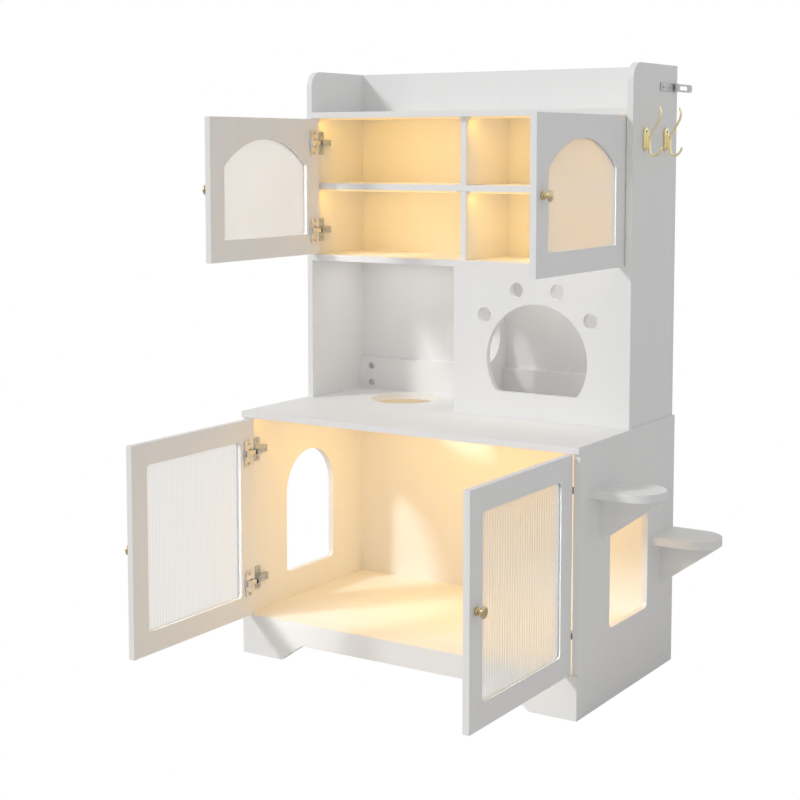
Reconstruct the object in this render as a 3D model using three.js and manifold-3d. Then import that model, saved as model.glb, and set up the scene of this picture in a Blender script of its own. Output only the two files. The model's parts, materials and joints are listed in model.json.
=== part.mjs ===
import * as THREE from "three";
import { mergeVertices } from "three/addons/utils/BufferGeometryUtils.js";
import Module from "manifold-3d";

const wasm = await Module();
wasm.setup();

// A litter cabinet: two doors below, a cat house with a paw-shaped entrance in the middle, two doors above,
// and climbing steps, coat hooks and a wall bracket on the right.
// Millimetres. X runs to the right, Y to the back and Z up. The origin is on the floor, in the middle of the
// cabinet's back.

// Driving sizes of the case.
const CABINET_WIDTH = 900;
const CABINET_DEPTH = 508;
const BOARD = 15;
const PLINTH_HEIGHT = 79;
const BOTTOM_BOARD = 18;
const COUNTER_HEIGHT = 593;
const SIDE_SETBACK = 7;
const HUTCH_INSET = 6.5;
const HUTCH_DEPTH = 243;
const CAT_HOUSE_HEIGHT = 348.5;
const CUPBOARD_HEIGHT = 339.5;
const UPSTAND_HEIGHT = 101;
const SHELF_RISE = 178.5;
const SHELF_SETBACK = 16.5;
const HUTCH_CORNER_RADIUS = 38;

// Cut-outs.
const SKIRT_ARCH = { bottomHalf: 335.5, topHalf: 274, height: 43 };
const CAT_DOOR = { width: 202, fromFront: 260, sill: 66, sideHeight: 199, cornerRadius: 13 };
const COUNTER_HOLE = { x: -226, fromBack: 130, radius: 85 };
const PAW_PAD = { radius: 131, flatDrop: 79, cornerRadius: 15 };
const PAW_TOES = { radius: 17.5, gap: 22, spread: 36, count: 4 };
const PAW_ABOVE_MIDDLE = 14;
const PARTITION = { right: 0, holeRadius: 64, holeBelowMiddle: 9.5, holeFromBack: 106 };
const RAIL_HEIGHT = 82;

// Doors, set in between the case boards.
const DOOR_GAP = 2;
const PIVOT_INSET = 2.5;
const OPEN_ANGLE = Math.PI / 2;
const LOWER_WINDOW = { besideCup: 3.5, rail: 50, cornerRadius: 8 };
const UPPER_WINDOW = { besideCup: 4.5, rail: 50.5, topRail: 50, rise: 64 };
const PANE = { thickness: 3, depth: 3.5, hold: 5 };
const FLUTES = { count: 33, depth: 0.9, chords: 3 };
const KNOB = { radius: 12.5, projection: 21, collarRadius: 8.5, neckRadius: 4.3, fromEdge: 25 };

// Concealed hinges. Their sections are drawn from the hinge axis: "in" is across the door, "deep" into the case.
const HINGE_FROM_END = { lower: 80, upper: 59 };
const CUP = { radius: 17.5, wall: 2, floor: 1.2, depth: 11.5, centre: 21.5 };
const FLANGE = { near: 8.5, far: 34.5, height: 62, thickness: 3.2, cornerRadius: 5 };
const LINK = { near: -4, thickness: 4, proud: 1.5 };
const HEAD = { near: 15.5, far: 31, proud: 3.5 };
const ARM = { halfWidth: 7.75, wall: 1.8, inner: 10.5, start: 17, end: 65, shoulder: 6, bevel: 4 };
const NOSE = { root: 2, waist: [9.9, 10.6], near: 14.8, far: 18.5, tip: 3.6, bulge: [19.5, 8], heel: 3 };
const NOTCH_HALF = 9.5;
const CROSS_PLATE = { fromFront: 37, width: 21, height: 57, thickness: 2.2, cornerRadius: 4 };

// Right-hand fittings.
const STEP = { width: 128, reach: 145, thickness: 18, tipRadius: 64 };
const STEP_FRONT = { fromFront: 118, height: 493 };
const STEP_BACK = { fromFront: 442.5, height: 324.5 };
const GUSSET = { drop: 105, reach: 140, nose: 4 };
const HOOK = { width: 20, height: 53, thickness: 6, wire: 2.6, screw: 2.2 };
const HOOK_RIDGE = { width: 12, from: 3, to: 38, wireSeat: 12.5 };
const HOOK_BELOW_TOP = 144;
const HOOKS_FROM_BACK = { front: 180.5, back: 66.5 };
const HASP = { height: 18, belowTop: 50.5, sheet: 2, fromBack: 98, tongueReach: 84, knuckle: 5.5, pin: 2 };
const HASP_PIVOT_FROM_BACK = 19;
const HASP_CORNER_RADIUS = 2;
const HASP_SLOT = { start: 11.5, end: 59.5, width: 9.5, roundness: 0.98 };
const STRIP = { depth: 10, height: 4, endGap: 12, setback: 2 };

// Running clearance, and how far joined pieces reach into each other and cutters past a face.
const CLEARANCE = 0.3;
const OVERLAP = 1;

// How finely round forms are faceted.
const CHORD_ERROR = 0.1;
const SIDES = { knob: 26, cup: 24, knuckle: 20, pin: 12, hole: 16 };
const WIRE_STEPS = 26;
const WIRE_TIP = { around: 10, over: 6 };

// Planes that follow from the sizes.
const FRONT = -CABINET_DEPTH;
const HALF_WIDTH = CABINET_WIDTH / 2;
const BASE_INNER = HALF_WIDTH - BOARD;
const BASE_FLOOR = PLINTH_HEIGHT + BOTTOM_BOARD;
const COUNTER_UNDERSIDE = COUNTER_HEIGHT - BOARD;
const HUTCH_FRONT = -HUTCH_DEPTH;
const HUTCH_OUTER = HALF_WIDTH - HUTCH_INSET;
const HUTCH_INNER = HUTCH_OUTER - BOARD;
const NOOK_CEILING = COUNTER_HEIGHT + CAT_HOUSE_HEIGHT;
const HUTCH_FLOOR = NOOK_CEILING + BOARD;
const SHELF_HEIGHT = HUTCH_FLOOR + SHELF_RISE;
const HUTCH_CEILING = HUTCH_FLOOR + CUPBOARD_HEIGHT;
const CABINET_HEIGHT = HUTCH_CEILING + BOARD + UPSTAND_HEIGHT;
const SHELF_FRONT = HUTCH_FRONT + SHELF_SETBACK;
const DIVIDER_HALF = BOARD / 2;

// Finishes.
const WHITE = { color: 0xf4f3f0, roughness: 0.5, metalness: 0 };
const MILKY = { color: 0xeee8e0, roughness: 0.2, metalness: 0 };
const FLUTED = { color: 0xe9e6e0, roughness: 0.3, metalness: 0 };
const BRASS = { color: 0xc9a35c, roughness: 0.35, metalness: 0.9 };
const NICKEL = { color: 0xb9bbbd, roughness: 0.3, metalness: 0.9 };
const GLOW = { color: 0xffe3a8, roughness: 0.4, metalness: 0 };

const cabinet = new THREE.Group();

function add(name, geometry, finish, parent = cabinet) {
  const mesh = new THREE.Mesh(geometry, new THREE.MeshStandardMaterial(finish));
  mesh.name = name;
  parent.add(mesh);
}

// Moves each vertex of a unit solid to its place, so that boards that meet share the very same plane.
function mapVertices(geometry, place) {
  const position = geometry.getAttribute("position");
  for (let i = 0; i < position.count; i++) {
    position.setXYZ(i, ...place(position.getX(i), position.getY(i), position.getZ(i)));
  }
  geometry.computeVertexNormals();
  return geometry;
}

function box(x, y, z) {
  const pick = (range, side) => (side < 0 ? range[0] : range[1]);
  return mapVertices(new THREE.BoxGeometry(1, 1, 1), (u, v, w) => [pick(x, u), pick(y, v), pick(z, w)]);
}

// A flat board square to X, Y or Z between two planes. Its outline is drawn in (Y, Z), (X, Z) or (X, Y).
function board(axis, [from, to], outline, holes = []) {
  const shape = new THREE.Shape(outline);
  shape.holes = holes.map((hole) => new THREE.Path(hole));
  const geometry = new THREE.ExtrudeGeometry(shape, { depth: 1, bevelEnabled: false });
  const turned = {
    X: (u, v, w) => [w < 0.5 ? from : to, u, v],
    Y: (u, v, w) => [u, w < 0.5 ? to : from, v],
    Z: (u, v, w) => [u, v, w < 0.5 ? from : to],
  };
  return mapVertices(geometry, turned[axis]);
}

function point(u, v) {
  return new THREE.Vector2(u, v);
}

function arc(u, v, radius, fromDegrees, toDegrees) {
  const from = THREE.MathUtils.degToRad(fromDegrees);
  const sweep = THREE.MathUtils.degToRad(toDegrees - fromDegrees);
  const steps = Math.ceil(Math.abs(sweep) / (2 * Math.acos(1 - CHORD_ERROR / radius)));
  return Array.from({ length: steps + 1 }, (_, i) => {
    const angle = from + (sweep * i) / steps;
    return point(u + radius * Math.cos(angle), v + radius * Math.sin(angle));
  });
}

function circle(u, v, radius) {
  return arc(u, v, radius, 0, 360).slice(1);
}

function rectangle([u0, u1], [v0, v1]) {
  return [point(u0, v0), point(u1, v0), point(u1, v1), point(u0, v1)];
}

function roundedRectangle([u0, u1], [v0, v1], radius) {
  return [
    ...arc(u1 - radius, v0 + radius, radius, -90, 0),
    ...arc(u1 - radius, v1 - radius, radius, 0, 90),
    ...arc(u0 + radius, v1 - radius, radius, 90, 180),
    ...arc(u0 + radius, v0 + radius, radius, 180, 270),
  ];
}

function solid(geometry) {
  const bare = geometry.clone();
  bare.deleteAttribute("normal");
  bare.deleteAttribute("uv");
  const merged = mergeVertices(bare);
  return new wasm.Manifold(
    new wasm.Mesh({
      numProp: 3,
      vertProperties: merged.getAttribute("position").array,
      triVerts: new Uint32Array(merged.index.array),
    }),
  );
}

function geometryOf(manifold) {
  const mesh = manifold.getMesh();
  const geometry = new THREE.BufferGeometry();
  geometry.setAttribute("position", new THREE.BufferAttribute(mesh.vertProperties, 3));
  geometry.setIndex(new THREE.BufferAttribute(mesh.triVerts, 1));
  geometry.computeVertexNormals();
  return geometry;
}

function join(...pieces) {
  return geometryOf(pieces.map(solid).reduce((all, piece) => all.add(piece)));
}

function cut(body, ...tools) {
  return geometryOf(tools.map(solid).reduce((rest, tool) => rest.subtract(tool), solid(body)));
}

// A rod along Z, and one along Y.
function rod(x, y, [z0, z1], radius, sides) {
  const geometry = new THREE.CylinderGeometry(radius, radius, z1 - z0, sides);
  return geometry.rotateX(Math.PI / 2).translate(x, y, (z0 + z1) / 2);
}

function crossRod(x, [y0, y1], z, radius) {
  return new THREE.CylinderGeometry(radius, radius, y1 - y0, SIDES.cup).translate(x, (y0 + y1) / 2, z);
}

// Skirt and base case.

function addPlinth() {
  const { bottomHalf, topHalf, height } = SKIRT_ARCH;
  const outline = [
    point(-HALF_WIDTH, 0),
    point(-bottomHalf, 0),
    point(-topHalf, height),
    point(topHalf, height),
    point(bottomHalf, 0),
    point(HALF_WIDTH, 0),
    point(HALF_WIDTH, PLINTH_HEIGHT),
    point(-HALF_WIDTH, PLINTH_HEIGHT),
  ];
  const rise = [0, PLINTH_HEIGHT];
  const behindFront = [FRONT + BOARD, 0];
  add("plinth_front", board("Y", [FRONT, FRONT + BOARD], outline), WHITE);
  add("plinth_left", box([-HALF_WIDTH, -BASE_INNER], behindFront, rise), WHITE);
  add("plinth_right", box([BASE_INNER, HALF_WIDTH], behindFront, rise), WHITE);
  add("plinth_back", box([-BASE_INNER, BASE_INNER], [-BOARD, 0], rise), WHITE);
}

function catDoorOutline() {
  const { width, fromFront, sill, sideHeight, cornerRadius } = CAT_DOOR;
  const middle = FRONT + fromFront;
  const half = width / 2;
  const bottom = BASE_FLOOR + sill;
  return [
    ...arc(middle + half - cornerRadius, bottom + cornerRadius, cornerRadius, -90, 0),
    ...arc(middle, bottom + sideHeight, half, 0, 180),
    ...arc(middle - half + cornerRadius, bottom + cornerRadius, cornerRadius, 180, 270),
  ];
}

function addBase() {
  const rise = [BASE_FLOOR, COUNTER_UNDERSIDE];
  const wholeWidth = [-HALF_WIDTH, HALF_WIDTH];
  const sideOutline = rectangle([FRONT + SIDE_SETBACK, 0], rise);
  const catDoor = [catDoorOutline()];
  const hatch = circle(COUNTER_HOLE.x, -COUNTER_HOLE.fromBack, COUNTER_HOLE.radius);
  const counter = rectangle(wholeWidth, [FRONT, 0]);
  add("base_bottom_board", box(wholeWidth, [FRONT, 0], [PLINTH_HEIGHT, BASE_FLOOR]), WHITE);
  add("base_side_left", board("X", [-HALF_WIDTH, -BASE_INNER], sideOutline, catDoor), WHITE);
  add("base_side_right", board("X", [BASE_INNER, HALF_WIDTH], sideOutline, catDoor), WHITE);
  add("base_back_panel", box([-BASE_INNER, BASE_INNER], [-BOARD, 0], rise), WHITE);
  add("countertop", board("Z", [COUNTER_UNDERSIDE, COUNTER_HEIGHT], counter, [hatch]), WHITE);
}

// Hutch: the cat house below, the two cupboards above.

function hutchSideOutline() {
  const radius = HUTCH_CORNER_RADIUS;
  return [
    point(HUTCH_FRONT, COUNTER_HEIGHT),
    point(0, COUNTER_HEIGHT),
    point(0, CABINET_HEIGHT),
    ...arc(HUTCH_FRONT + radius, CABINET_HEIGHT - radius, radius, 90, 180),
  ];
}

function addHutchCase() {
  const across = [-HUTCH_INNER, HUTCH_INNER];
  const deep = [HUTCH_FRONT, -BOARD];
  const side = hutchSideOutline();
  const railTop = COUNTER_HEIGHT + RAIL_HEIGHT;
  add("hutch_side_left", board("X", [-HUTCH_OUTER, -HUTCH_INNER], side), WHITE);
  add("hutch_side_right", board("X", [HUTCH_INNER, HUTCH_OUTER], side), WHITE);
  add("hutch_back_panel", box(across, [-BOARD, 0], [COUNTER_HEIGHT, CABINET_HEIGHT]), WHITE);
  add("hutch_bottom_board", box(across, deep, [NOOK_CEILING, HUTCH_FLOOR]), WHITE);
  add("hutch_top_board", box(across, deep, [HUTCH_CEILING, HUTCH_CEILING + BOARD]), WHITE);
  add("back_rail", box(across, [-2 * BOARD, -BOARD], [COUNTER_HEIGHT, railTop]), WHITE);
}

// The shelf and the divider halve into each other: the shelf is slotted from the back, the divider from the front.
function addCrossLappedShelf() {
  const middle = (SHELF_FRONT - BOARD) / 2;
  const slotHalf = DIVIDER_HALF + CLEARANCE;
  const shelfOutline = [
    point(-HUTCH_INNER, SHELF_FRONT),
    point(HUTCH_INNER, SHELF_FRONT),
    point(HUTCH_INNER, -BOARD),
    point(slotHalf, -BOARD),
    point(slotHalf, middle - CLEARANCE / 2),
    point(-slotHalf, middle - CLEARANCE / 2),
    point(-slotHalf, -BOARD),
    point(-HUTCH_INNER, -BOARD),
  ];
  const dividerOutline = [
    point(SHELF_FRONT, HUTCH_FLOOR),
    point(-BOARD, HUTCH_FLOOR),
    point(-BOARD, HUTCH_CEILING),
    point(SHELF_FRONT, HUTCH_CEILING),
    point(SHELF_FRONT, SHELF_HEIGHT + CLEARANCE),
    point(middle + CLEARANCE / 2, SHELF_HEIGHT + CLEARANCE),
    point(middle + CLEARANCE / 2, SHELF_HEIGHT - BOARD - CLEARANCE),
    point(SHELF_FRONT, SHELF_HEIGHT - BOARD - CLEARANCE),
  ];
  add("shelf", board("Z", [SHELF_HEIGHT - BOARD, SHELF_HEIGHT], shelfOutline), WHITE);
  add("divider", board("X", [-DIVIDER_HALF, DIVIDER_HALF], dividerOutline), WHITE);
}

// The paw stands between the pad's flat foot and the tops of its toes, a little above the middle of the cat house.
const TOE_ORBIT = PAW_PAD.radius + PAW_TOES.gap + PAW_TOES.radius;
const HOUSE_MIDDLE = COUNTER_HEIGHT + CAT_HOUSE_HEIGHT / 2;

function toeAngle(index) {
  return THREE.MathUtils.degToRad(90 + PAW_TOES.spread * (index - (PAW_TOES.count - 1) / 2));
}

function pawCentreHeight() {
  const heights = Array.from({ length: PAW_TOES.count }, (_, i) => TOE_ORBIT * Math.sin(toeAngle(i)));
  const top = Math.max(...heights) + PAW_TOES.radius;
  return HOUSE_MIDDLE + PAW_ABOVE_MIDDLE - (top - PAW_PAD.flatDrop) / 2;
}

function pawPadOutline(centre, height) {
  const { radius, flatDrop, cornerRadius } = PAW_PAD;
  const drop = flatDrop - cornerRadius;
  const reach = radius - cornerRadius;
  const cornerX = Math.sqrt(reach ** 2 - drop ** 2);
  const tangent = THREE.MathUtils.radToDeg(Math.asin(drop / reach));
  return [
    ...arc(centre - cornerX, height - drop, cornerRadius, 180 + tangent, 270),
    ...arc(centre + cornerX, height - drop, cornerRadius, -90, -tangent),
    ...arc(centre, height, radius, -tangent, 180 + tangent).slice(1, -1),
  ];
}

function toeOutline(centre, height, index) {
  const angle = toeAngle(index);
  return circle(centre + TOE_ORBIT * Math.cos(angle), height + TOE_ORBIT * Math.sin(angle), PAW_TOES.radius);
}

function addCatHouse() {
  const left = PARTITION.right - BOARD;
  const centre = (left + HUTCH_INNER) / 2;
  const rise = [COUNTER_HEIGHT, NOOK_CEILING];
  const height = pawCentreHeight();
  const toes = Array.from({ length: PAW_TOES.count }, (_, i) => toeOutline(centre, height, i));
  const pawFront = rectangle([left, HUTCH_INNER], rise);
  const railFront = -2 * BOARD - CLEARANCE;
  const railTop = COUNTER_HEIGHT + RAIL_HEIGHT + CLEARANCE;
  const wall = [
    point(HUTCH_FRONT + BOARD, COUNTER_HEIGHT),
    point(railFront, COUNTER_HEIGHT),
    point(railFront, railTop),
    point(-BOARD, railTop),
    point(-BOARD, NOOK_CEILING),
    point(HUTCH_FRONT + BOARD, NOOK_CEILING),
  ];
  const { holeFromBack, holeBelowMiddle, holeRadius } = PARTITION;
  const hole = circle(-holeFromBack, HOUSE_MIDDLE - holeBelowMiddle, holeRadius);
  const pawDepth = [HUTCH_FRONT, HUTCH_FRONT + BOARD];
  add("paw_panel", board("Y", pawDepth, pawFront, [pawPadOutline(centre, height), ...toes]), WHITE);
  add("partition", board("X", [left, PARTITION.right], wall, [hole]), WHITE);
}

// Doors, drawn closed from their hinge axis: X runs across the door, Y into the case.

// A stile is wide enough for the hinge cup, the pane's edge and a little wood between them.
function stileWidth({ besideCup }) {
  return PIVOT_INSET + CUP.centre + CUP.radius + PANE.hold + besideCup;
}

function lowerWindow(grow) {
  return ({ inner, outer, bottom, top }) => {
    const stile = stileWidth(LOWER_WINDOW);
    const across = [inner + stile - grow, outer - stile + grow];
    const rise = [bottom + LOWER_WINDOW.rail - grow, top - LOWER_WINDOW.rail + grow];
    return grow ? rectangle(across, rise) : roundedRectangle(across, rise, LOWER_WINDOW.cornerRadius);
  };
}

function upperWindow(grow) {
  return ({ inner, outer, bottom, top }) => {
    const { rail, topRail, rise } = UPPER_WINDOW;
    const half = (outer - inner) / 2 - stileWidth(UPPER_WINDOW);
    const middle = (inner + outer) / 2;
    const radius = (half ** 2 + rise ** 2) / (2 * rise);
    const centre = top - topRail - radius;
    const side = THREE.MathUtils.radToDeg(Math.acos((half + grow) / (radius + grow)));
    const sill = bottom + rail - grow;
    return [
      point(middle - half - grow, sill),
      point(middle + half + grow, sill),
      ...arc(middle, centre, radius + grow, side, 180 - side),
    ];
  };
}

function archedPane(slab, outline) {
  const front = PANE.depth - PIVOT_INSET;
  return board("Y", [front, front + PANE.thickness], outline(slab));
}

// Ribbed glass: shallow round flutes on the front, a flat back.
function flutedPane(slab, outline) {
  const corners = outline(slab);
  const [left, right] = [corners[0].x, corners[1].x];
  const [bottom, top] = [corners[0].y, corners[2].y];
  const crest = PANE.depth - PIVOT_INSET;
  const back = crest + PANE.thickness;
  const pitch = (right - left) / FLUTES.count;
  const steps = FLUTES.count * FLUTES.chords;
  const face = Array.from({ length: steps + 1 }, (_, i) => {
    const swell = Math.abs(Math.sin((Math.PI * i) / FLUTES.chords));
    return point(left + (pitch * i) / FLUTES.chords, crest + FLUTES.depth * (1 - swell));
  });
  return board("Z", [bottom, top], [...face, point(right, back), point(left, back)]);
}

function knob(slab) {
  const { radius, projection, collarRadius, neckRadius } = KNOB;
  const profile = [
    point(0, CLEARANCE),
    point(collarRadius, CLEARANCE),
    point(collarRadius, projection * 0.24),
    point(collarRadius * 0.86, projection * 0.3),
    point(neckRadius, projection * 0.38),
    point(neckRadius, projection * 0.62),
    point(radius * 0.7, projection * 0.7),
    point(radius, projection * 0.77),
    point(radius, projection * 0.88),
    point(radius * 0.86, projection * 0.95),
    point(radius * 0.5, projection * 0.99),
    point(0, projection),
  ];
  const turned = new THREE.LatheGeometry(profile, SIDES.knob).rotateX(Math.PI);
  return turned.translate(slab.outer - KNOB.fromEdge, -PIVOT_INSET, (slab.bottom + slab.top) / 2);
}

// The part of a hinge that rides on the door: a hollow cup under its flange, and the link that bridges the notch.
// The notch is open towards the hinge axis, where the arm's nose swings through on both sides of the link.
function hingeCup(z) {
  const face = BOARD - PIVOT_INSET;
  const mouth = face + CLEARANCE + FLANGE.thickness;
  const cupFloor = face - CUP.depth;
  const flange = roundedRectangle(
    [FLANGE.near, FLANGE.far],
    [z - FLANGE.height / 2, z + FLANGE.height / 2],
    FLANGE.cornerRadius,
  );
  const shell = join(
    crossRod(CUP.centre, [cupFloor, mouth - OVERLAP], z, CUP.radius),
    board("Y", [face + CLEARANCE, mouth], flange),
  );
  const hollow = cut(
    shell,
    crossRod(CUP.centre, [cupFloor + CUP.floor, face + CLEARANCE], z, CUP.radius - CUP.wall),
    box([0, CUP.centre], [cupFloor + CUP.floor, mouth + OVERLAP], [z - NOTCH_HALF, z + NOTCH_HALF]),
  );
  const linkTop = mouth + LINK.proud;
  const linkHalf = ARM.halfWidth - ARM.wall - CLEARANCE;
  const headHalf = ARM.halfWidth;
  const linkReach = CUP.centre + OVERLAP;
  return join(
    hollow,
    box([LINK.near, linkReach], [linkTop - LINK.thickness, linkTop], [z - linkHalf, z + linkHalf]),
    box([HEAD.near, HEAD.far], [mouth - OVERLAP, mouth + HEAD.proud], [z - headHalf, z + headHalf]),
  );
}

// The part that stays on the case: a channel arm on a cross-shaped mounting plate. The two cheeks of its nose keep
// clear of the notch's edges all through the swing.
function hingeArm(z) {
  const { halfWidth, wall, inner, start, end, shoulder, bevel } = ARM;
  const seat = -PIVOT_INSET - DOOR_GAP + CLEARANCE;
  const cheek = [
    point(seat, start),
    point(NOSE.root, start),
    point(...NOSE.waist),
    point(NOSE.near, NOSE.tip),
    point(NOSE.far, NOSE.tip),
    point(...NOSE.bulge),
    point(inner + NOSE.heel, start),
    point(inner, start + shoulder),
    point(inner, end - shoulder),
    point(inner - bevel, end),
    point(seat, end),
  ];
  const plateMiddle = CROSS_PLATE.fromFront - PIVOT_INSET;
  const plate = roundedRectangle(
    [plateMiddle - CROSS_PLATE.width / 2, plateMiddle + CROSS_PLATE.width / 2],
    [z - CROSS_PLATE.height / 2, z + CROSS_PLATE.height / 2],
    CROSS_PLATE.cornerRadius,
  );
  const web = [start + shoulder, end - shoulder];
  return join(
    board("Z", [z - halfWidth, z - halfWidth + wall], cheek),
    board("Z", [z + halfWidth - wall, z + halfWidth], cheek),
    box([inner - wall, inner], web, [z - halfWidth, z + halfWidth]),
    board("X", [seat, seat + CROSS_PLATE.thickness], plate),
  );
}

function pocket(z) {
  const face = BOARD - PIVOT_INSET;
  const floor = face - CUP.depth - CLEARANCE;
  return crossRod(CUP.centre, [floor, face + OVERLAP], z, CUP.radius + CLEARANCE);
}

function doorSlab(slab, opening, groove) {
  const { inner, outer, bottom, top, hinges } = slab;
  const outline = rectangle([inner, outer], [bottom, top]);
  const grooveFront = PANE.depth - PIVOT_INSET - CLEARANCE;
  const grooveDepth = [grooveFront, grooveFront + PANE.thickness + 2 * CLEARANCE];
  return cut(
    board("Y", [-PIVOT_INSET, BOARD - PIVOT_INSET], outline, [opening(slab)]),
    board("Y", grooveDepth, groove(slab)),
    ...hinges.map(pocket),
  );
}

// One door with its two hinges. The frame that holds them stands at the hinge axis with X running inboard,
// so the right-hand one is mirrored.
function addDoor(level, side, caseInner, caseFront, [bottom, top]) {
  const right = side === "right";
  const inset = DOOR_GAP + PIVOT_INSET;
  const fromEnd = HINGE_FROM_END[level];
  const slab = {
    inner: -PIVOT_INSET,
    outer: caseInner - inset - DOOR_GAP / 2,
    bottom: bottom + DOOR_GAP,
    top: top - DOOR_GAP,
    hinges: [bottom + DOOR_GAP + fromEnd, top - DOOR_GAP - fromEnd],
  };
  const window = level === "lower" ? lowerWindow : upperWindow;
  const makePane = level === "lower" ? flutedPane : archedPane;
  const axis = new THREE.Group();
  axis.position.set((right ? 1 : -1) * (caseInner - inset), caseFront + PIVOT_INSET, 0);
  axis.scale.x = right ? -1 : 1;
  const leaf = new THREE.Group();
  leaf.rotation.z = -OPEN_ANGLE;
  axis.add(leaf);
  cabinet.add(axis);
  const name = `door_${level}_${side}`;
  add(`${name}_frame`, doorSlab(slab, window(0), window(PANE.hold + CLEARANCE)), WHITE, leaf);
  add(`${name}_pane`, makePane(slab, window(PANE.hold)), level === "lower" ? FLUTED : MILKY, leaf);
  add(`${name}_knob`, knob(slab), BRASS, leaf);
  slab.hinges.forEach((z, i) => {
    const hinge = `hinge_${level}_${side}_${i ? "top" : "bottom"}`;
    add(`${hinge}_cup`, hingeCup(z), NICKEL, leaf);
    add(`${hinge}_arm`, hingeArm(z), NICKEL, axis);
  });
}

// Right-hand steps, hooks and wall bracket.

function addStep(name, { fromFront, height }) {
  const middle = FRONT + fromFront;
  const half = STEP.width / 2;
  const underside = height - STEP.thickness;
  const tread = [
    point(HALF_WIDTH, middle - half),
    ...arc(HALF_WIDTH + STEP.reach - STEP.tipRadius, middle, STEP.tipRadius, -90, 90),
    point(HALF_WIDTH, middle + half),
  ];
  const web = [
    point(HALF_WIDTH, underside - GUSSET.drop),
    point(HALF_WIDTH + GUSSET.reach, underside - GUSSET.nose),
    point(HALF_WIDTH + GUSSET.reach, underside),
    point(HALF_WIDTH, underside),
  ];
  add(`${name}_shelf`, board("Z", [underside, height], tread), WHITE);
  add(`${name}_gusset`, board("Y", [middle - BOARD / 2, middle + BOARD / 2], web), WHITE);
}

// The bent wire of a coat hook, from the tip of its lower arm up the wall plate to the tip of its upper arm.
// Its route is drawn in (out from the wall, up from the plate's foot).
const HOOK_ROUTE = [
  [41.5, 7],
  [39.5, 1],
  [33.5, -6.5],
  [26, -10.5],
  [18, -8.5],
  [14, -3],
  [HOOK_RIDGE.wireSeat, 13.5],
  [14, 31],
  [19, 43],
  [28, 58],
  [35.5, 71],
  [39, 86.5],
  [35.5, 97],
];

function hookWire() {
  const path = new THREE.CatmullRomCurve3(HOOK_ROUTE.map(([out, up]) => new THREE.Vector3(out, 0, up)));
  const section = new THREE.Shape(circle(0, 0, HOOK.wire));
  const wire = new THREE.ExtrudeGeometry(section, { steps: WIRE_STEPS, extrudePath: path, bevelEnabled: false });
  const { around, over } = WIRE_TIP;
  const tips = [path.getPoint(0), path.getPoint(1)];
  return [wire, ...tips.map(({ x, z }) => new THREE.SphereGeometry(HOOK.wire, around, over).translate(x, 0, z))];
}

function stadium(half, from, to) {
  return [...arc(0, from + half, half, 180, 360), ...arc(0, to - half, half, 0, 180)];
}

function coatHook() {
  const plate = board("X", [CLEARANCE, HOOK.thickness], stadium(HOOK.width / 2, 0, HOOK.height));
  const ridgeOutline = stadium(HOOK_RIDGE.width / 2, HOOK_RIDGE.from, HOOK_RIDGE.to);
  const ridgeDepth = [HOOK.thickness / 2, HOOK_RIDGE.wireSeat - HOOK.wire / 2];
  const ridge = board("X", ridgeDepth, ridgeOutline);
  const screwHole = new THREE.CylinderGeometry(HOOK.screw, HOOK.screw, 3 * HOOK.thickness, SIDES.hole)
    .rotateZ(Math.PI / 2)
    .translate(0, 0, HOOK.height - HOOK.width / 2);
  return join(cut(plate, screwHole), ridge, ...hookWire());
}

function addHooks() {
  for (const [place, fromBack] of Object.entries(HOOKS_FROM_BACK)) {
    const wall = new THREE.Group();
    wall.position.set(HUTCH_OUTER, -fromBack, CABINET_HEIGHT - HOOK_BELOW_TOP - HOOK.height);
    cabinet.add(wall);
    add(`hook_${place}`, coatHook(), BRASS, wall);
  }
}

// The wall bracket is a hasp: its plate carries the pin and the outer knuckles, its tongue the middle knuckle.
// Both are drawn from the hinge axis: X out from the side panel, Y to the back.
function haspPlate() {
  const { height, sheet, fromBack, knuckle, pin } = HASP;
  const inner = CLEARANCE / 2 - knuckle;
  const end = HASP_PIVOT_FROM_BACK - fromBack;
  const half = height / 2;
  const third = height / 6;
  const leaf = roundedRectangle([end, 0], [-half, half], HASP_CORNER_RADIUS);
  const clear = knuckle + 2 * CLEARANCE;
  const body = cut(
    board("X", [inner, inner + sheet], leaf),
    box([inner - OVERLAP, knuckle], [-clear, clear], [-third - CLEARANCE, third + CLEARANCE]),
  );
  return join(
    body,
    rod(0, 0, [-half, -third - CLEARANCE], knuckle, SIDES.knuckle),
    rod(0, 0, [third + CLEARANCE, half], knuckle, SIDES.knuckle),
    rod(0, 0, [-half, half], pin, SIDES.pin),
  );
}

function haspTongue() {
  const { height, sheet, tongueReach, knuckle, pin } = HASP;
  const inner = CLEARANCE / 2 - knuckle;
  const half = height / 2;
  const third = height / 6;
  const tip = HASP_PIVOT_FROM_BACK + tongueReach;
  const clear = knuckle + 2 * CLEARANCE;
  const outline = [
    point(0, -third),
    point(clear, -third),
    point(clear, -half),
    ...arc(tip - half, 0, half, -90, 90),
    point(clear, half),
    point(clear, third),
    point(0, third),
  ];
  const slotHalf = HASP_SLOT.width / 2;
  const slot = roundedRectangle(
    [HASP_PIVOT_FROM_BACK + HASP_SLOT.start, HASP_PIVOT_FROM_BACK + HASP_SLOT.end],
    [-slotHalf, slotHalf],
    slotHalf * HASP_SLOT.roundness,
  );
  const sheetBody = board("X", [inner, inner + sheet], outline, [slot]);
  const body = join(sheetBody, rod(0, 0, [-third, third], knuckle, SIDES.knuckle));
  return cut(body, rod(0, 0, [-half, half], pin + CLEARANCE, SIDES.pin));
}

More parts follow.
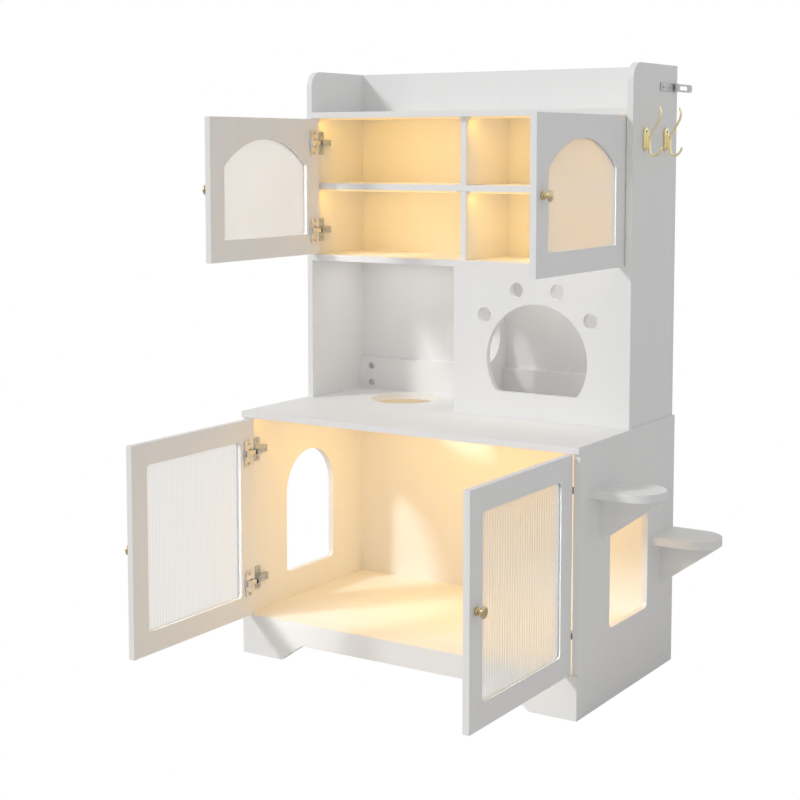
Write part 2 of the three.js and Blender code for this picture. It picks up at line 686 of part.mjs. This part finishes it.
function addHasp() {
  const pivot = new THREE.Group();
  const out = HUTCH_OUTER + HASP.knuckle + CLEARANCE;
  pivot.position.set(out, -HASP_PIVOT_FROM_BACK, CABINET_HEIGHT - HASP.belowTop);
  cabinet.add(pivot);
  add("wall_bracket_plate", haspPlate(), NICKEL, pivot);
  add("wall_bracket_tongue", haspTongue(), NICKEL, pivot);
}

// Light strips, out of sight behind the boards' front edges.

function addStrip(name, across, front, under) {
  const { depth, height, endGap, setback } = STRIP;
  const x = [across[0] + endGap, across[1] - endGap];
  const y = [front + setback, front + setback + depth];
  add(name, box(x, y, [under - height, under]), GLOW);
}

function addStrips() {
  const left = [-HUTCH_INNER, -DIVIDER_HALF];
  const right = [DIVIDER_HALF, HUTCH_INNER];
  addStrip("led_upper_left", left, SHELF_FRONT, HUTCH_CEILING);
  addStrip("led_upper_right", right, SHELF_FRONT, HUTCH_CEILING);
  addStrip("led_shelf_left", left, SHELF_FRONT, SHELF_HEIGHT - BOARD);
  addStrip("led_shelf_right", right, SHELF_FRONT, SHELF_HEIGHT - BOARD);
  addStrip("led_base", [-BASE_INNER, BASE_INNER], FRONT + BOARD, COUNTER_UNDERSIDE);
}

addPlinth();
addBase();
addHutchCase();
addCrossLappedShelf();
addCatHouse();
for (const side of ["left", "right"]) {
  addDoor("lower", side, BASE_INNER, FRONT, [BASE_FLOOR, COUNTER_UNDERSIDE]);
  addDoor("upper", side, HUTCH_INNER, HUTCH_FRONT, [HUTCH_FLOOR, HUTCH_CEILING]);
}
addStep("step_front", STEP_FRONT);
addStep("step_back", STEP_BACK);
addHooks();
addHasp();
addStrips();

export default cabinet;
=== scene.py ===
import json
import math

import bmesh
import bpy
from mathutils import Matrix, Vector


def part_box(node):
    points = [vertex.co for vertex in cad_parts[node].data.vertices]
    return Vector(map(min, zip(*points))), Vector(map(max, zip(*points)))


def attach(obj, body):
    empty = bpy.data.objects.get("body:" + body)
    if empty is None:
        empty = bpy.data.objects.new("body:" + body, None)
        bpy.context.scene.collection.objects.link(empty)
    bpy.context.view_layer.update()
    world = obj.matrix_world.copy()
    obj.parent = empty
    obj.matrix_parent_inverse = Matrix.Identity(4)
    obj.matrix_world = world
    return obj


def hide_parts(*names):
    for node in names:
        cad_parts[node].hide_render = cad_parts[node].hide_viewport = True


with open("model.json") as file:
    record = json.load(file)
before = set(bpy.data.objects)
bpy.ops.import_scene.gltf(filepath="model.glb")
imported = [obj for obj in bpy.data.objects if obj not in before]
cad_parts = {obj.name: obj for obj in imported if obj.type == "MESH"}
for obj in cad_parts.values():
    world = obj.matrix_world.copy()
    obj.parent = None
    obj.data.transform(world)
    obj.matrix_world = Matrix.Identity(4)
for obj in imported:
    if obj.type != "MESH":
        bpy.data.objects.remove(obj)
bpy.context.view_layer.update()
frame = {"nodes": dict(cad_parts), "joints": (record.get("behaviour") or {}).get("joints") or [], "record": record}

# Metres throughout; MM turns a size in millimetres into metres.
MM = 0.001

# Camera: where it stands, its turn to the left, its downward tilt, its focal length in pixels of an 800 px
# picture, and its vertical shift.
CAMERA = {
    "place": (1.9430, -3.5396, 1.2191),
    "yaw": 0.5694,
    "pitch": 0.0905,
    "focal_px": 1615.4,
    "shift_y": -0.13,
}
PICTURE_PX = 800
CLIP = (0.1, 60)
FLOOR = {"size": 30, "drop": 0.5, "grey": 0.78}

# Light.
AMBIENT = 0.52
KEY_STRENGTH = 1.2
KEY_TRAVEL = Vector((0.78, 1.0, -0.80))
KEY_ANGLE = math.radians(9)
LED_COLOUR = (1.0, 0.53, 0.01)
LED_WATTS = {
    "led_upper_left": 0.34,
    "led_upper_right": 0.36,
    "led_shelf_left": 0.34,
    "led_shelf_right": 0.38,
    "led_base": 0.45,
}
LED_TRAVEL = (0, 1, -0.75)
LED_SPREAD = math.radians(140)
GLOW_DEPTH = 8
FILL_COLOUR = (1.0, 0.94, 0.90)
FILL_WATTS = {"nook": 0.14, "cat_house": 0.20, "litter_bay": 1.2}
FILL_WIDTH, FILL_DEPTH = 0.75, 0.5
FILL_GAP = 4

# Fittings.
KNOB_PROFILE = (
    (8.5, 0.3), (8.5, 4.6), (8.2, 5.4), (7.2, 6.2), (5.2, 7.2), (4.4, 8.4), (4.3, 10.5), (4.3, 12.6),
    (5.2, 14.0), (8.4, 14.9), (11.2, 15.5), (12.3, 16.3), (12.5, 17.3), (12.35, 18.4), (11.4, 19.5),
    (9.0, 20.3), (5.0, 20.85),
)
KNOB_TOP = 21.0
HOOK_WIRE = 2.6
HOOK_ROUTE = (
    (41.5, 7), (39.5, 1), (33.5, -6.5), (26, -10.5), (18, -8.5), (14, -3), (12.5, 13.5),
    (14, 31), (19, 43), (28, 58), (35.5, 71), (39, 86.5), (35.5, 97),
)
HOOK_PLATE = {"width": 20, "height": 53, "thickness": 6, "hole": 3.6}
HOOK_RIDGE = {"width": 12, "low": 3, "high": 38, "root": 3, "reach": 11.2}
HOOK_HOLE_CUT = (-5, 20)
HOOK_FOOT_ABOVE_WIRE = 13.1
HOOK_BACK_GAP = 0.3
HOOK_ROUNDING = {"plate": 1.2, "ridge": 1.8}
HOOK_SCREW = {"seat": 2.6, "radius": 3.3}
FLUTES = {"count": 33, "depth": 0.9, "steps": 10}

# Hinge screws: how far inboard and back of the door's axis they sit, their heights from the hinge's middle,
# and the radius of their heads.
HINGE_SCREWS = {
    "flange": {"inboard": 16.0, "back": (-21.5,), "rise": (-24, 24), "radius": 3.6},
    "plate": {"inboard": -2.0, "back": (34.5,), "rise": (-20, 20), "radius": 3.6},
    "arm": {"inboard": 10.5, "back": (31, 51), "rise": (0,), "radius": 3.2},
}
BRACKET_SCREWS = {"from_end": (14, 46), "sheet": 2, "radius": 3.4}
RAIL_BOLTS = {"inset": 36.8, "rise": (17, 60), "radius": 8}
HINGE_LEVELS = ("lower", "upper")
SIDES = ("left", "right")


# Camera and stage.

def add_camera():
    data = bpy.data.cameras.new("photo_camera")
    data.sensor_width = 36
    data.lens = CAMERA["focal_px"] / PICTURE_PX * data.sensor_width
    data.shift_y = CAMERA["shift_y"]
    data.clip_start, data.clip_end = CLIP
    camera = bpy.data.objects.new("photo_camera", data)
    bpy.context.scene.collection.objects.link(camera)
    yaw, pitch = CAMERA["yaw"], CAMERA["pitch"]
    forward = Vector((-math.sin(yaw) * math.cos(pitch), math.cos(yaw) * math.cos(pitch), -math.sin(pitch)))
    camera.location = CAMERA["place"]
    aim(camera, forward)
    bpy.context.scene.camera = camera


def aim(thing, direction):
    thing.rotation_mode = "QUATERNION"
    thing.rotation_quaternion = Vector(direction).to_track_quat("-Z", "Y")


def nodes_of(material):
    material.use_nodes = True
    tree = material.node_tree
    tree.nodes.clear()
    return tree.nodes, tree.links


def math_node(nodes, links, operation, a, b):
    node = nodes.new("ShaderNodeMath")
    node.operation = operation
    for socket, value in zip(node.inputs, (a, b)):
        if isinstance(value, (int, float)):
            socket.default_value = value
        else:
            links.new(value, socket)
    return node.outputs[0]


# The backdrop is white to the camera and dimmer as a light.
def add_world():
    world = bpy.data.worlds.new("studio")
    bpy.context.scene.world = world
    world.use_nodes = True
    nodes, links = world.node_tree.nodes, world.node_tree.links
    nodes.clear()
    out = nodes.new("ShaderNodeOutputWorld")
    background = nodes.new("ShaderNodeBackground")
    background.inputs["Color"].default_value = (1, 1, 1, 1)
    path = nodes.new("ShaderNodeLightPath")
    seen = math_node(nodes, links, "MAXIMUM", path.outputs["Is Camera Ray"], path.outputs["Is Glossy Ray"])
    seen = math_node(nodes, links, "MAXIMUM", seen, path.outputs["Is Transmission Ray"])
    strength = math_node(nodes, links, "MULTIPLY_ADD", seen, 1.0 - AMBIENT)
    strength.node.inputs[2].default_value = AMBIENT
    links.new(strength, background.inputs["Strength"])
    links.new(background.outputs[0], out.inputs[0])


def add_floor():
    bpy.ops.mesh.primitive_plane_add(size=FLOOR["size"], location=(0, 0, -FLOOR["drop"] * MM))
    floor = bpy.context.object
    floor.name = "floor"
    material = bpy.data.materials.new("floor_white")
    nodes, links = nodes_of(material)
    out = nodes.new("ShaderNodeOutputMaterial")
    diffuse = nodes.new("ShaderNodeBsdfDiffuse")
    diffuse.inputs["Color"].default_value = (FLOOR["grey"],) * 3 + (1,)
    white = nodes.new("ShaderNodeEmission")
    white.inputs["Color"].default_value = (1, 1, 1, 1)
    path = nodes.new("ShaderNodeLightPath")
    camera_ray, through_ray = path.outputs["Is Camera Ray"], path.outputs["Is Transmission Ray"]
    seen = math_node(nodes, links, "MAXIMUM", camera_ray, through_ray)
    mix = nodes.new("ShaderNodeMixShader")
    links.new(seen, mix.inputs[0])
    links.new(diffuse.outputs[0], mix.inputs[1])
    links.new(white.outputs[0], mix.inputs[2])
    links.new(mix.outputs[0], out.inputs[0])
    floor.data.materials.append(material)


def add_lamp(name, kind, energy, place=(0, 0, 0), direction=(0, 0, -1)):
    data = bpy.data.lights.new(name, kind)
    data.energy = energy
    lamp = bpy.data.objects.new(name, data)
    lamp.location = place
    lamp.visible_camera = False
    aim(lamp, direction)
    bpy.context.scene.collection.objects.link(lamp)
    return data


def add_key():
    data = add_lamp("key", "SUN", KEY_STRENGTH, direction=KEY_TRAVEL)
    data.angle = KEY_ANGLE


def add_panel(name, watts, place, direction, size):
    data = add_lamp(name, "AREA", watts, place, direction)
    data.shape = "RECTANGLE"
    data.size, data.size_y = size
    return data


# One warm lamp under each light strip.
def add_glow():
    for node, watts in LED_WATTS.items():
        low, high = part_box(node)
        middle = (low + high) / 2
        under = (middle.x, middle.y, low.z - MM)
        data = add_panel(f"glow_{node}", watts, under, LED_TRAVEL, (high.x - low.x, GLOW_DEPTH * MM))
        data.color = LED_COLOUR
        data.spread = LED_SPREAD


# Soft fill inside the open bay, the cat house and the litter bay, from just under their ceilings.
def add_fill():
    ceiling, partition, top = (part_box(node) for node in ("hutch_bottom_board", "partition", "countertop"))
    rooms = {
        "nook": (ceiling, ceiling[0].x, partition[0].x),
        "cat_house": (ceiling, partition[1].x, ceiling[1].x),
        "litter_bay": (top, top[0].x, top[1].x),
    }
    for room, ((low, high), left, right) in rooms.items():
        place = ((left + right) / 2, (low.y + high.y) / 2, low.z - FILL_GAP * MM)
        size = (FILL_WIDTH * (right - left), FILL_DEPTH * (high.y - low.y))
        data = add_panel(f"fill_{room}", FILL_WATTS[room], place, (0, 0, -1), size)
        data.color = LED_COLOUR if room == "litter_bay" else FILL_COLOUR


# Materials.

def principled(nodes, links, **values):
    out = nodes.new("ShaderNodeOutputMaterial")
    shader = nodes.new("ShaderNodeBsdfPrincipled")
    for name, value in values.items():
        shader.inputs[name.replace("_", " ")].default_value = value
    links.new(shader.outputs[0], out.inputs[0])
    return shader


def noise(nodes, links, scale, detail=4, roughness=0.5, stretch=None):
    coords = nodes.new("ShaderNodeTexCoord")
    source = coords.outputs["Object"]
    if stretch:
        mapping = nodes.new("ShaderNodeMapping")
        mapping.inputs["Scale"].default_value = stretch
        links.new(source, mapping.inputs["Vector"])
        source = mapping.outputs[0]
    texture = nodes.new("ShaderNodeTexNoise")
    texture.inputs["Scale"].default_value = scale
    texture.inputs["Detail"].default_value = detail
    texture.inputs["Roughness"].default_value = roughness
    links.new(source, texture.inputs["Vector"])
    return texture.outputs["Fac"]


def tint(nodes, links, source, low, high):
    node = nodes.new("ShaderNodeValToRGB")
    for element, place, colour in zip(node.color_ramp.elements, (0.3, 0.7), (low, high)):
        element.position = place
        element.color = (*colour, 1)
    links.new(source, node.inputs[0])
    return node.outputs[0]


def spread(nodes, links, source, low, high):
    node = nodes.new("ShaderNodeMapRange")
    for name, value in (("From Min", 0.3), ("From Max", 0.7), ("To Min", low), ("To Max", high)):
        node.inputs[name].default_value = value
    links.new(source, node.inputs["Value"])
    return node.outputs[0]


def bump(nodes, links, source, strength, distance, under=None):
    node = nodes.new("ShaderNodeBump")
    node.inputs["Strength"].default_value = strength
    node.inputs["Distance"].default_value = distance
    links.new(source, node.inputs["Height"])
    if under:
        links.new(under, node.inputs["Normal"])
    return node.outputs[0]


def soft_edge(nodes, radius):
    node = nodes.new("ShaderNodeBevel")
    node.samples = 4
    node.inputs["Radius"].default_value = radius
    return node.outputs[0]


# White laminate with a faint embossed grain along the board, its edges eased.
def white_laminate(name, along):
    material = bpy.data.materials.new(name)
    nodes, links = nodes_of(material)
    shader = principled(nodes, links, Specular_IOR_Level=0.35, IOR=1.46)
    cloud = noise(nodes, links, 22, 6, 0.62, along)
    fine = noise(nodes, links, 900, 2, 0.6)
    pores = noise(nodes, links, 420, 3, 0.6, along)
    colour = tint(nodes, links, cloud, (0.882, 0.882, 0.877), (0.90, 0.90, 0.895))
    links.new(colour, shader.inputs["Base Color"])
    links.new(spread(nodes, links, fine, 0.42, 0.56), shader.inputs["Roughness"])
    eased = soft_edge(nodes, 0.7 * MM)
    embossed = bump(nodes, links, fine, 0.04, 0.0002, eased)
    links.new(bump(nodes, links, pores, 0.12, 0.0003, embossed), shader.inputs["Normal"])
    return material


# Upright bands, spaced along Y: painted shade in the grooves between the flutes of the pane and a painted
# highlight on their crests.
def bands(nodes, links, start, pitch):
    coords = nodes.new("ShaderNodeTexCoord")
    wave = nodes.new("ShaderNodeTexWave")
    wave.wave_type, wave.bands_direction, wave.wave_profile = "BANDS", "Y", "SIN"
    per_metre = 2 * math.pi / pitch
    wave.inputs["Scale"].default_value = per_metre / 20
    wave.inputs["Phase Offset"].default_value = -start * per_metre
    links.new(coords.outputs["Object"], wave.inputs["Vector"])
    return wave.outputs["Fac"]


# Sheet that lets light through and blurs what stands behind: cloudy, or banded with painted flute shade and
# highlight where a pattern is given.
def pane_material(name, low, high, rough, ior, pattern=None):
    material = bpy.data.materials.new(name)
    nodes, links = nodes_of(material)
    shader = principled(nodes, links, IOR=ior, Transmission_Weight=0.8, Specular_IOR_Level=0.5)
    source = bands(nodes, links, *pattern) if pattern else noise(nodes, links, 6, 3)
    waves = noise(nodes, links, 24, 2)
    links.new(tint(nodes, links, source, low, high), shader.inputs["Base Color"])
    links.new(spread(nodes, links, waves, rough - 0.04, rough + 0.04), shader.inputs["Roughness"])
    links.new(bump(nodes, links, waves, 0.02, 0.001), shader.inputs["Normal"])
    return material


def flute_pattern():
    low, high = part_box("door_lower_left_pane")
    return low.y, (high.y - low.y) / FLUTES["count"]


def satin_metal(name, dark, light, rough, brush=(1, 1, 6)):
    material = bpy.data.materials.new(name)
    nodes, links = nodes_of(material)
    shader = principled(nodes, links, Metallic=1.0)
    cloud = noise(nodes, links, 60, 4)
    brushed = noise(nodes, links, 500, 3, 0.6, brush)
    links.new(tint(nodes, links, cloud, dark, light), shader.inputs["Base Color"])
    links.new(spread(nodes, links, brushed, rough - 0.06, rough + 0.08), shader.inputs["Roughness"])
    eased = soft_edge(nodes, 0.25 * MM)
    links.new(bump(nodes, links, brushed, 0.08, 0.0001, eased), shader.inputs["Normal"])
    return material


# A warm diffuser over a row of diodes.
def light_strip():
    material = bpy.data.materials.new("light_strip")
    nodes, links = nodes_of(material)
    shader = principled(nodes, links, Emission_Strength=0.4, Roughness=0.4)
    dots = noise(nodes, links, 260, 2)
    colour = tint(nodes, links, dots, (1.0, 0.66, 0.30), (1.0, 0.76, 0.42))
    links.new(colour, shader.inputs["Base Color"])
    links.new(colour, shader.inputs["Emission Color"])
    return material


MILKY, MILKY_CLOUD = (0.94, 0.905, 0.86), (0.98, 0.955, 0.92)
# Painted shade for the fluted pane's grooves and painted highlight for its crests.
GROOVE_SHADE, CREST_HIGHLIGHT = (0.87, 0.87, 0.865), (0.96, 0.96, 0.955)
MATERIALS = {
    "white_laminate": white_laminate("white_laminate", (1, 1, 0.05)),
    "milky_pane": pane_material("milky_pane", MILKY, MILKY_CLOUD, 0.42, 1.3),
    "fluted_pane": pane_material("fluted_pane", GROOVE_SHADE, CREST_HIGHLIGHT, 0.36, 1.14, flute_pattern()),
    "satin_brass": satin_metal("satin_brass", (0.86, 0.75, 0.42), (0.95, 0.85, 0.54), 0.3),
    "nickel_plate": satin_metal("nickel_plate", (0.60, 0.61, 0.65), (0.74, 0.75, 0.79), 0.22),
    "light_strip": light_strip(),
}
LEVEL_LAMINATE = white_laminate("white_laminate_level", (0.05, 1, 1))
ARM_NICKEL = satin_metal("arm_nickel", (0.40, 0.45, 0.55), (0.54, 0.59, 0.70), 0.24)
KNOB_BRASS = satin_metal("knob_brass", (0.54, 0.41, 0.22), (0.66, 0.53, 0.31), 0.22)
BRACKET_STEEL = satin_metal("bracket_steel", (0.40, 0.405, 0.41), (0.50, 0.505, 0.51), 0.34)
# Brass of the hook screws, painted near black for the shade inside the plate's screw hole.
HOLE_SHADE_BRASS = satin_metal("hole_shade_brass", (0.10, 0.07, 0.03), (0.17, 0.12, 0.06), 0.45)
BRIGHT_ZINC = satin_metal("bright_zinc", (0.44, 0.43, 0.42), (0.60, 0.59, 0.58), 0.3)
LEVEL_BOARDS = ("countertop", "shelf", "plinth_front", "plinth_back", "back_rail")


def surface_of(name, slot):
    if name.startswith("wall_bracket"):
        return BRACKET_STEEL
    if name.endswith("_arm"):
        return ARM_NICKEL
    if name in LEVEL_BOARDS or name.endswith(("_top_board", "_bottom_board", "_shelf")):
        return LEVEL_LAMINATE
    return MATERIALS[slot]


def dress_nodes():
    for part in frame["record"]["subparts"]:
        name, slot = part["node"], part["material_slot"]
        node = frame["nodes"][name]
        node.data.materials.clear()
        node.data.materials.append(surface_of(name, slot))
        # The sun falls through the panes, as it does through clear sheet.
        node.visible_shadow = slot not in ("milky_pane", "fluted_pane")


# Mesh building.

def finish_piece(name, build, material, body, replaced=()):
    mesh = bpy.data.meshes.new(name)
    bmesh.ops.remove_doubles(build, verts=build.verts, dist=1e-6)
    bmesh.ops.recalc_face_normals(build, faces=build.faces)
    build.to_mesh(mesh)
    build.free()
    mesh.shade_smooth()
    mesh.set_sharp_from_angle(angle=math.radians(38))
    mesh.materials.append(material)
    piece = bpy.data.objects.new(name, mesh)
    bpy.context.scene.collection.objects.link(piece)
    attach(piece, body)
    if replaced:
        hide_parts(*replaced)
    return piece


# A closed skin over a row of rings of equal count.
def skin(build, rings):
    rows = [[build.verts.new(point) for point in ring] for ring in rings]
    count = len(rows[0])
    for row, after in zip(rows, rows[1:]):
        for i in range(count):
            j = (i + 1) % count
            build.faces.new((row[i], row[j], after[j], after[i]))
    build.faces.new(rows[0])
    build.faces.new(rows[-1])


# A turned form along local Z, moved by place.
def lathe(build, profile, place, sides=40):
    turns = [(math.cos(2 * math.pi * i / sides), math.sin(2 * math.pi * i / sides)) for i in range(sides)]
    skin(build, [[place @ Vector((r * c, r * s, z)) for c, s in turns] for r, z in profile])


def facing(origin, direction):
    return Matrix.Translation(origin) @ Vector(direction).to_track_quat("Z", "Y").to_matrix().to_4x4()


def boolean_cut(mesh, cutter):
    body = bpy.data.objects.new("body", mesh)
    tool = bpy.data.objects.new("tool", cutter)
    for thing in (body, tool):
        bpy.context.scene.collection.objects.link(thing)
    modifier = body.modifiers.new("cut", "BOOLEAN")
    modifier.object = tool
    modifier.solver = "EXACT"
    graph = bpy.context.evaluated_depsgraph_get()
    result = bpy.data.meshes.new_from_object(body.evaluated_get(graph))
    bpy.data.objects.remove(body)
    bpy.data.objects.remove(tool)
    return result


def mesh_from(make):
    build = bmesh.new()
    make(build)
    bmesh.ops.recalc_face_normals(build, faces=build.faces)
    mesh = bpy.data.meshes.new("form")
    build.to_mesh(mesh)
    build.free()
    return mesh


def prism(build, outline, low, high, place=Matrix.Identity(4)):
    skin(build, [[place @ Vector((x, y, z)) for x, y in outline] for z in (low, high)])


def cross_outline(reach, half):
    corner = [(reach, -half), (reach, half), (half, half)]
    turned = []
    for quarter in range(4):
        c, s = round(math.cos(quarter * math.pi / 2)), round(math.sin(quarter * math.pi / 2))
        turned += [(x * c - y * s, x * s + y * c) for x, y in corner]
    return turned


# Screw heads of radius 1, seated at z = 0: a domed one and a flat one, both with a cross recess.
PAN_HEAD = ((1.0, -0.15), (1.0, 0.12), (0.94, 0.26), (0.78, 0.38), (0.5, 0.45), (0.2, 0.47))
FLAT_HEAD = ((1.0, -0.1), (1.0, 0.18), (0.93, 0.26), (0.84, 0.30), (0.80, 0.26), (0.6, 0.28), (0.3, 0.28))


def screw_head(profile, recess, depth):
    head = mesh_from(lambda build: lathe(build, profile, Matrix.Identity(4), 28))
    top = profile[-1][1]
    return boolean_cut(head, mesh_from(lambda build: prism(build, recess, top - depth, top + 1)))


CROSS_HEAD = screw_head(PAN_HEAD, cross_outline(0.56, 0.12), 0.3)
BOLT_HEAD = screw_head(FLAT_HEAD, cross_outline(0.52, 0.17), 0.33)


def add_screws(name, head, places, direction, radius, material, body):
    build = bmesh.new()
    for place in places:
        old = set(build.verts)
        build.from_mesh(head)
        fresh = [vert for vert in build.verts if vert not in old]
        bmesh.ops.transform(build, matrix=facing(place, direction) @ Matrix.Scale(radius, 4), verts=fresh)
    return finish_piece(name, build, material, body)


# Door fittings.

def side_sign(side):
    return -1 if side == "left" else 1


def add_knob(level, side):
    node = f"door_{level}_{side}_knob"
    low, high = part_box(node)
    out = side_sign(side)
    face = high.x if side == "left" else low.x
    seat = Vector((face - out * KNOB_PROFILE[0][1] * MM, (low.y + high.y) / 2, (low.z + high.z) / 2))
    build = bmesh.new()
    profile = [(r * MM, z * MM) for r, z in KNOB_PROFILE] + [(0.4 * MM, KNOB_TOP * MM)]
    lathe(build, profile, facing(seat, (out, 0, 0)), 48)
    finish_piece(f"{node}_turned", build, KNOB_BRASS, f"door_{level}_{side}", [node])


# Ribbed sheet: the flutes run upright on the face that is outside when the door is shut.
def add_fluted_pane(side):
    node = f"door_lower_{side}_pane"
    low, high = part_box(node)
    crest, back = (low.x, high.x) if side == "left" else (high.x, low.x)
    inward = -side_sign(side) * FLUTES["depth"] * MM
    steps = FLUTES["count"] * FLUTES["steps"]
    face = []
    for i in range(steps + 1):
        swell = abs(math.sin(math.pi * i / FLUTES["steps"]))
        face.append((crest + inward * (1 - swell), low.y + (high.y - low.y) * i / steps))
    outline = face + [(back, high.y), (back, low.y)]
    build = bmesh.new()
    prism(build, outline, low.z, high.z)
    material = MATERIALS["fluted_pane"]
    pane = finish_piece(f"{node}_ribbed", build, material, f"door_lower_{side}", [node])
    pane.visible_shadow = False


# Two screws in each flange, two in each mounting plate and two in each arm.
def add_hinge_screws(level, side, end):
    hinge = f"hinge_{level}_{side}_{end}"
    door = f"door_{level}_{side}"
    axis = Vector(next(joint["pos_m"] for joint in frame["joints"] if joint["child"] == door))
    inboard = -side_sign(side)
    low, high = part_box(f"{hinge}_cup")
    middle = (low.z + high.z) / 2
    for piece, seat in HINGE_SCREWS.items():
        places = [
            Vector((axis.x + inboard * seat["inboard"] * MM, axis.y + back * MM, middle + rise * MM))
            for back in seat["back"]
            for rise in seat["rise"]
        ]
        body = door if piece == "flange" else "root"
        radius = seat["radius"] * MM
        name = f"{hinge}_{piece}_screws"
        add_screws(name, CROSS_HEAD, places, (inboard, 0, 0), radius, BRIGHT_ZINC, body)


# Coat hooks.

def stadium(half, low, high, steps=16):
    lower = [math.pi + math.pi * i / steps for i in range(steps + 1)]
    upper = [math.pi * i / steps for i in range(steps + 1)]
    foot = [(half * math.cos(a), low + half + half * math.sin(a)) for a in lower]
    head = [(half * math.cos(a), high - half + half * math.sin(a)) for a in upper]
    return foot + head


def smooth_route(points, per_span=6):
    spots = [Vector(p) for p in points]
    spots = [2 * spots[0] - spots[1], *spots, 2 * spots[-1] - spots[-2]]
    route = []
    for a, b, c, d in zip(spots, spots[1:], spots[2:], spots[3:]):
        for i in range(per_span):
            t = i / per_span
            square, cube = t * t, t * t * t
            bend, twist = 2 * a - 5 * b + 4 * c - d, 3 * b - a - 3 * c + d
            route.append((2 * b + (c - a) * t + bend * square + twist * cube) / 2)
    return route + [spots[-2]]


# A round wire in the X-Z plane with rounded ends.
def wire(build, route, radius, origin, sides=20, cap_steps=5):
    rings = []
    last = len(route) - 1

    def ring(centre, tangent, size):
        normal = Vector((-tangent.y, tangent.x))
        points = []
        for i in range(sides):
            angle = 2 * math.pi * i / sides
            flat = centre + normal * size * math.cos(angle)
            points.append(origin + Vector((flat.x, size * math.sin(angle), flat.y)))
        return points

    for i, spot in enumerate(route):
        tangent = (route[min(i + 1, last)] - route[max(i - 1, 0)]).normalized()
        ends = []
        if i in (0, last):
            outward = tangent if i else -tangent
            for step in range(1, cap_steps + 1):
                angle = 0.49 * math.pi * step / cap_steps
                centre = spot + outward * radius * math.sin(angle)
                ends.append(ring(centre, tangent, radius * math.cos(angle)))
        body = [ring(spot, tangent, radius)]
        rings += ends[::-1] + body if i == 0 else body + ends
    skin(build, rings)


def soften(piece, width, segments=3):
    modifier = piece.modifiers.new("soften", "BEVEL")
    modifier.width = width
    modifier.segments = segments
    modifier.limit_method = "ANGLE"
    modifier.angle_limit = math.radians(50)
    return piece


def add_hook(place):
    node = f"hook_{place}"
    brass = MATERIALS["satin_brass"]
    low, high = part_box(node)
    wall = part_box("hutch_side_right")[1].x
    foot = low.z + HOOK_FOOT_ABOVE_WIRE * MM
    origin = Vector((wall, (low.y + high.y) / 2, foot))
    upright = Matrix.Translation(origin) @ Matrix(((0, 0, 1, 0), (1, 0, 0, 0), (0, 1, 0, 0), (0, 0, 0, 1)))
    half = HOOK_PLATE["width"] / 2 * MM
    hole_height = HOOK_PLATE["height"] * MM - half
    outline = stadium(half, 0, HOOK_PLATE["height"] * MM)
    back, front = HOOK_BACK_GAP * MM, HOOK_PLATE["thickness"] * MM
    flat = mesh_from(lambda build: prism(build, outline, back, front, upright))
    hole_profile = [(HOOK_PLATE["hole"] * MM, end * MM) for end in HOOK_HOLE_CUT]
    hole_place = facing(origin + Vector((0, 0, hole_height)), (1, 0, 0))
    plate = bmesh.new()
    plate.from_mesh(boolean_cut(flat, mesh_from(lambda build: lathe(build, hole_profile, hole_place, 32))))
    rounding = {piece: width * MM for piece, width in HOOK_ROUNDING.items()}
    soften(finish_piece(f"{node}_plate", plate, brass, "root", [node]), rounding["plate"])
    ridge = bmesh.new()
    ridge_outline = stadium(HOOK_RIDGE["width"] / 2 * MM, HOOK_RIDGE["low"] * MM, HOOK_RIDGE["high"] * MM)
    prism(ridge, ridge_outline, HOOK_RIDGE["root"] * MM, HOOK_RIDGE["reach"] * MM, upright)
    soften(finish_piece(f"{node}_ridge", ridge, brass, "root"), rounding["ridge"], 4)
    bent = bmesh.new()
    wire(bent, [point * MM for point in smooth_route(HOOK_ROUTE)], HOOK_WIRE * MM, origin)
    finish_piece(f"{node}_wire", bent, brass, "root")
    # The screw head sits down in the plate's hole and carries painted shade.
    screw = origin + Vector((HOOK_SCREW["seat"] * MM, 0, hole_height))
    radius = HOOK_SCREW["radius"] * MM
    add_screws(f"{node}_screw", CROSS_HEAD, [screw], (1, 0, 0), radius, HOLE_SHADE_BRASS, "root")


# Screws in the wall bracket's plate and in the back rail.

def add_bracket_screws():
    low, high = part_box("wall_bracket_plate")
    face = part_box("wall_bracket_tongue")[0].x + BRACKET_SCREWS["sheet"] * MM
    places = [Vector((face, low.y + end * MM, (low.z + high.z) / 2)) for end in BRACKET_SCREWS["from_end"]]
    radius = BRACKET_SCREWS["radius"] * MM
    name = "wall_bracket_screws"
    add_screws(name, CROSS_HEAD, places, (1, 0, 0), radius, BRACKET_STEEL, "root")


def add_rail_bolts():
    low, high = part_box("back_rail")
    inset, radius = RAIL_BOLTS["inset"] * MM, RAIL_BOLTS["radius"] * MM
    places = [
        Vector((x, low.y, low.z + rise * MM))
        for x in (low.x + inset, high.x - inset)
        for rise in RAIL_BOLTS["rise"]
    ]
    add_screws("back_rail_bolts", BOLT_HEAD, places, (0, -1, 0), radius, BRIGHT_ZINC, "root")


add_camera()
add_world()
add_floor()
add_key()
add_glow()
add_fill()
dress_nodes()
for side in SIDES:
    add_fluted_pane(side)
    for level in HINGE_LEVELS:
        add_knob(level, side)
        for end in ("bottom", "top"):
            add_hinge_screws(level, side, end)
for place in ("front", "back"):
    add_hook(place)
add_bracket_screws()
add_rail_bolts()

bpy.context.scene.view_settings.view_transform = "Standard"
